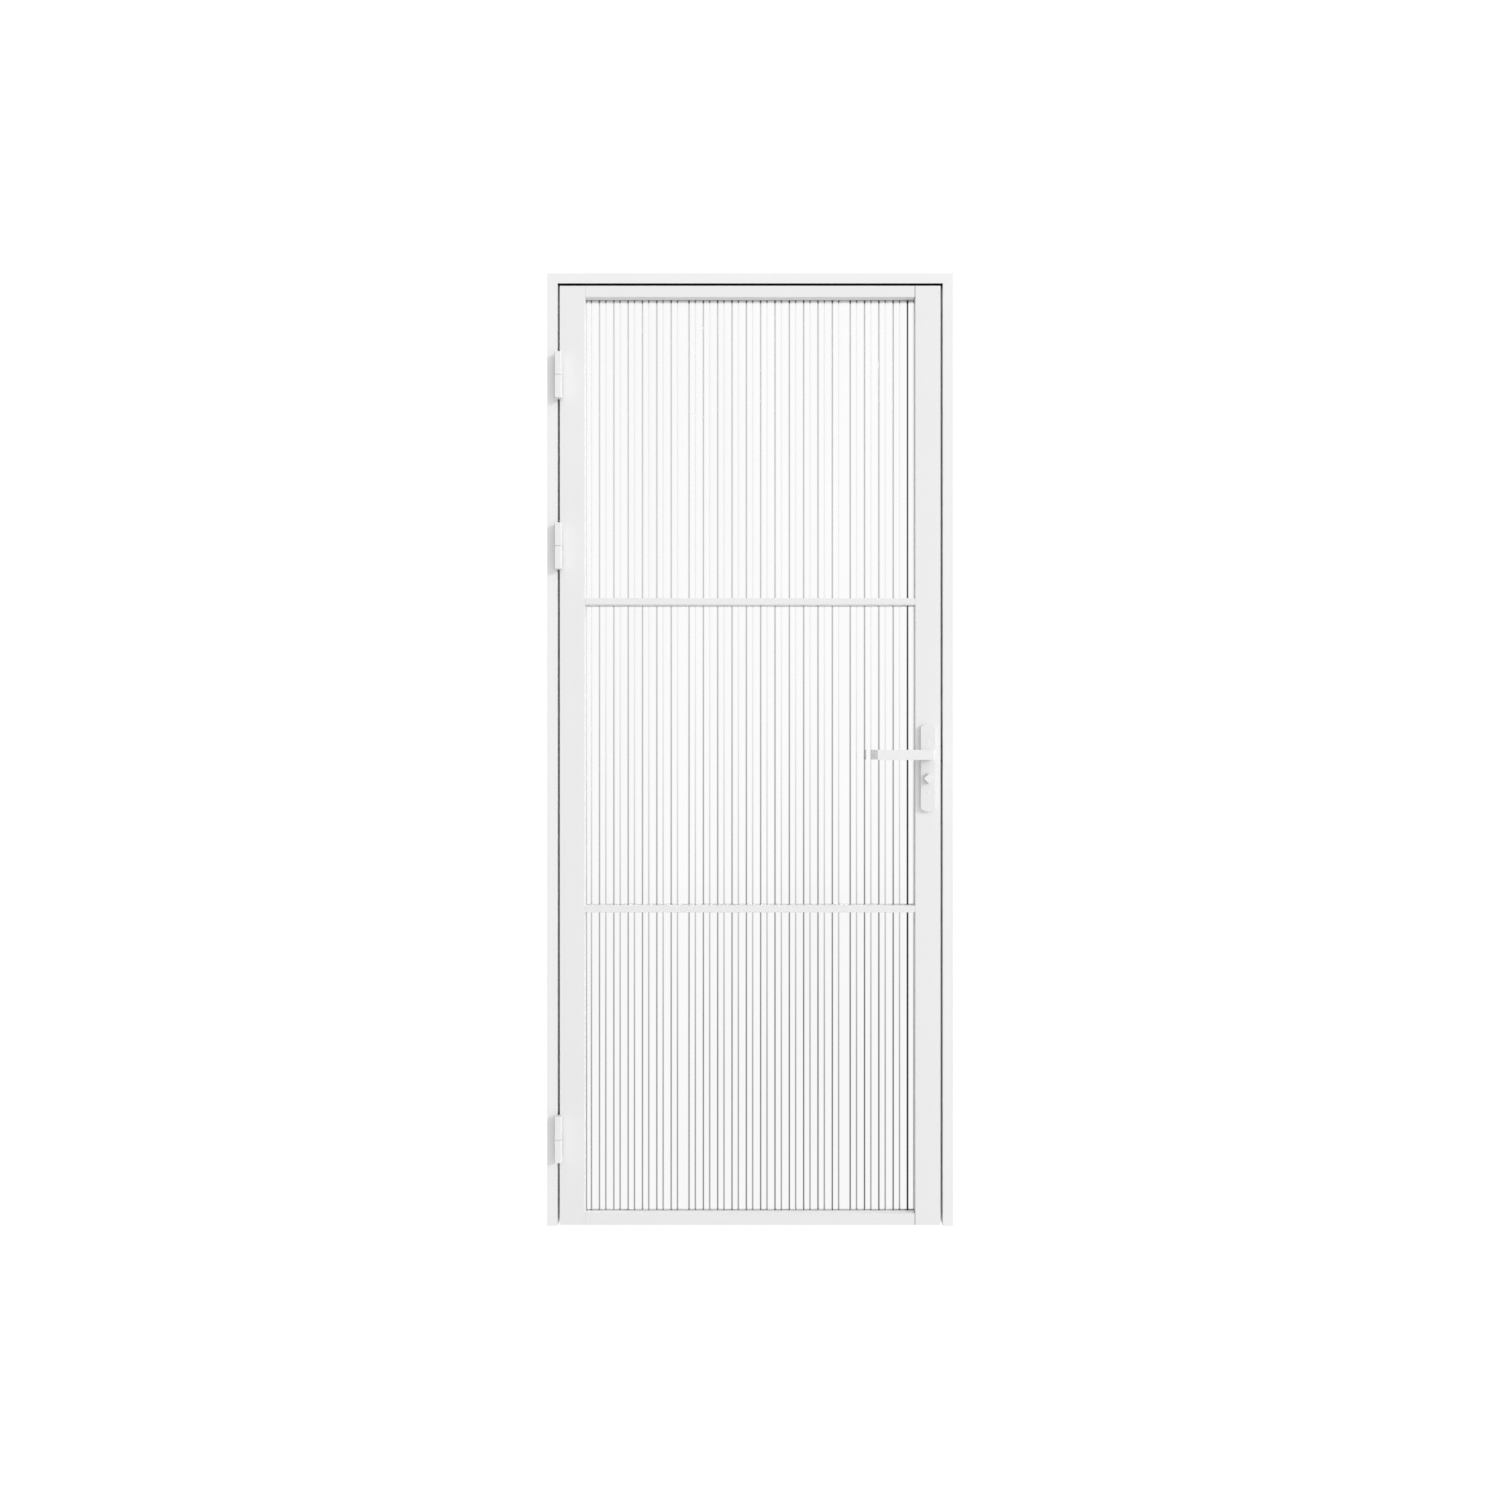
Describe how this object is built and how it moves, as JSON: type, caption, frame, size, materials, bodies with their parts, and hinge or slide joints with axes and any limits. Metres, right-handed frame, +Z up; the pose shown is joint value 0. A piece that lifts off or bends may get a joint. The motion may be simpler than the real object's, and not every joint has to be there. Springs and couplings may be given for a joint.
{
  "type": "glazed interior door",
  "caption": "White flush interior door in its frame, with full height reeded glass, slim glazing bars, lift-off hinges and a lever on a narrow plate.",
  "frame": {"origin": "lower front corner of the hinge jamb's wall face, at floor level", "axes": "+X from the hinge jamb across the doorway, +Y from the front face, where the leaf opens out, to the rear, +Z up"},
  "size_m": [0.88, 0.15, 2.066],
  "materials": {
    "frame_paint": "satin",
    "leaf_paint": "satin",
    "furniture_paint": "satin",
    "seal_rubber": "matte",
    "glazing_rubber": "matte",
    "reeded_glass": "polished",
    "lock_metal": "satin",
    "cap_plastic": "matte"
  },
  "bodies": {
    "frame": {"frame_hinge_jamb": "frame_paint", "frame_lock_jamb": "frame_paint", "frame_head": "frame_paint", "stop_hinge_jamb": "frame_paint", "stop_lock_jamb": "frame_paint", "stop_head": "frame_paint", "seal_hinge_jamb": "seal_rubber", "seal_lock_jamb": "seal_rubber", "seal_head": "seal_rubber", "strike_keep": "furniture_paint", "hinge_upper_frame_half": "furniture_paint", "hinge_middle_frame_half": "furniture_paint", "hinge_lower_frame_half": "furniture_paint"},
    "leaf": {"stile_hinge_side": "leaf_paint", "stile_lock_side": "leaf_paint", "stile_caps": "cap_plastic", "rail_bottom": "leaf_paint", "rail_top": "leaf_paint", "glass_sheet": "reeded_glass", "gasket_front": "glazing_rubber", "gasket_rear": "glazing_rubber", "bead_hinge_side": "leaf_paint", "bead_lock_side": "leaf_paint", "bead_bottom": "leaf_paint", "bead_top": "leaf_paint", "lock_case": "lock_metal", "lock_faceplate": "lock_metal", "backplate_front": "furniture_paint", "backplate_rear": "furniture_paint", "bar_lower_front": "leaf_paint", "bar_lower_rear": "leaf_paint", "bar_upper_front": "leaf_paint", "bar_upper_rear": "leaf_paint", "hinge_upper_leaf_half": "furniture_paint", "hinge_middle_leaf_half": "furniture_paint", "hinge_lower_leaf_half": "furniture_paint"},
    "lever": {"lever_front": "furniture_paint", "lever_rear": "furniture_paint", "lever_spindle": "lock_metal"},
    "thumbturn": {"thumbturn_knob": "furniture_paint", "thumbturn_release": "furniture_paint"},
    "latch": {"latch_bolt": "lock_metal"}
  },
  "joints": [
    {"name": "door_swing", "type": "hinge", "parent": "frame", "child": "leaf", "pos_m": [0.026, -0.011, 0], "axis": [0, 0, -1], "range_deg": [0, 170]},
    {"name": "lever_turn", "type": "hinge", "parent": "leaf", "child": "lever", "pos_m": [0.8245, 0, 1.0215], "axis": [0, -1, 0], "range_deg": [0, 40], "stiffness_Nm_per_rad": 1.2, "springref_deg": -45.84},
    {"name": "thumbturn_turn", "type": "hinge", "parent": "leaf", "child": "thumbturn", "pos_m": [0.8245, 0, 0.9705], "axis": [0, -1, 0], "range_deg": [0, 90]},
    {"name": "latch_slide", "type": "slide", "parent": "leaf", "child": "latch", "axis": [1, 0, 0], "range_m": [0, 0.012], "stiffness_N_per_m": 60, "springref_m": -0.02}
  ]
}
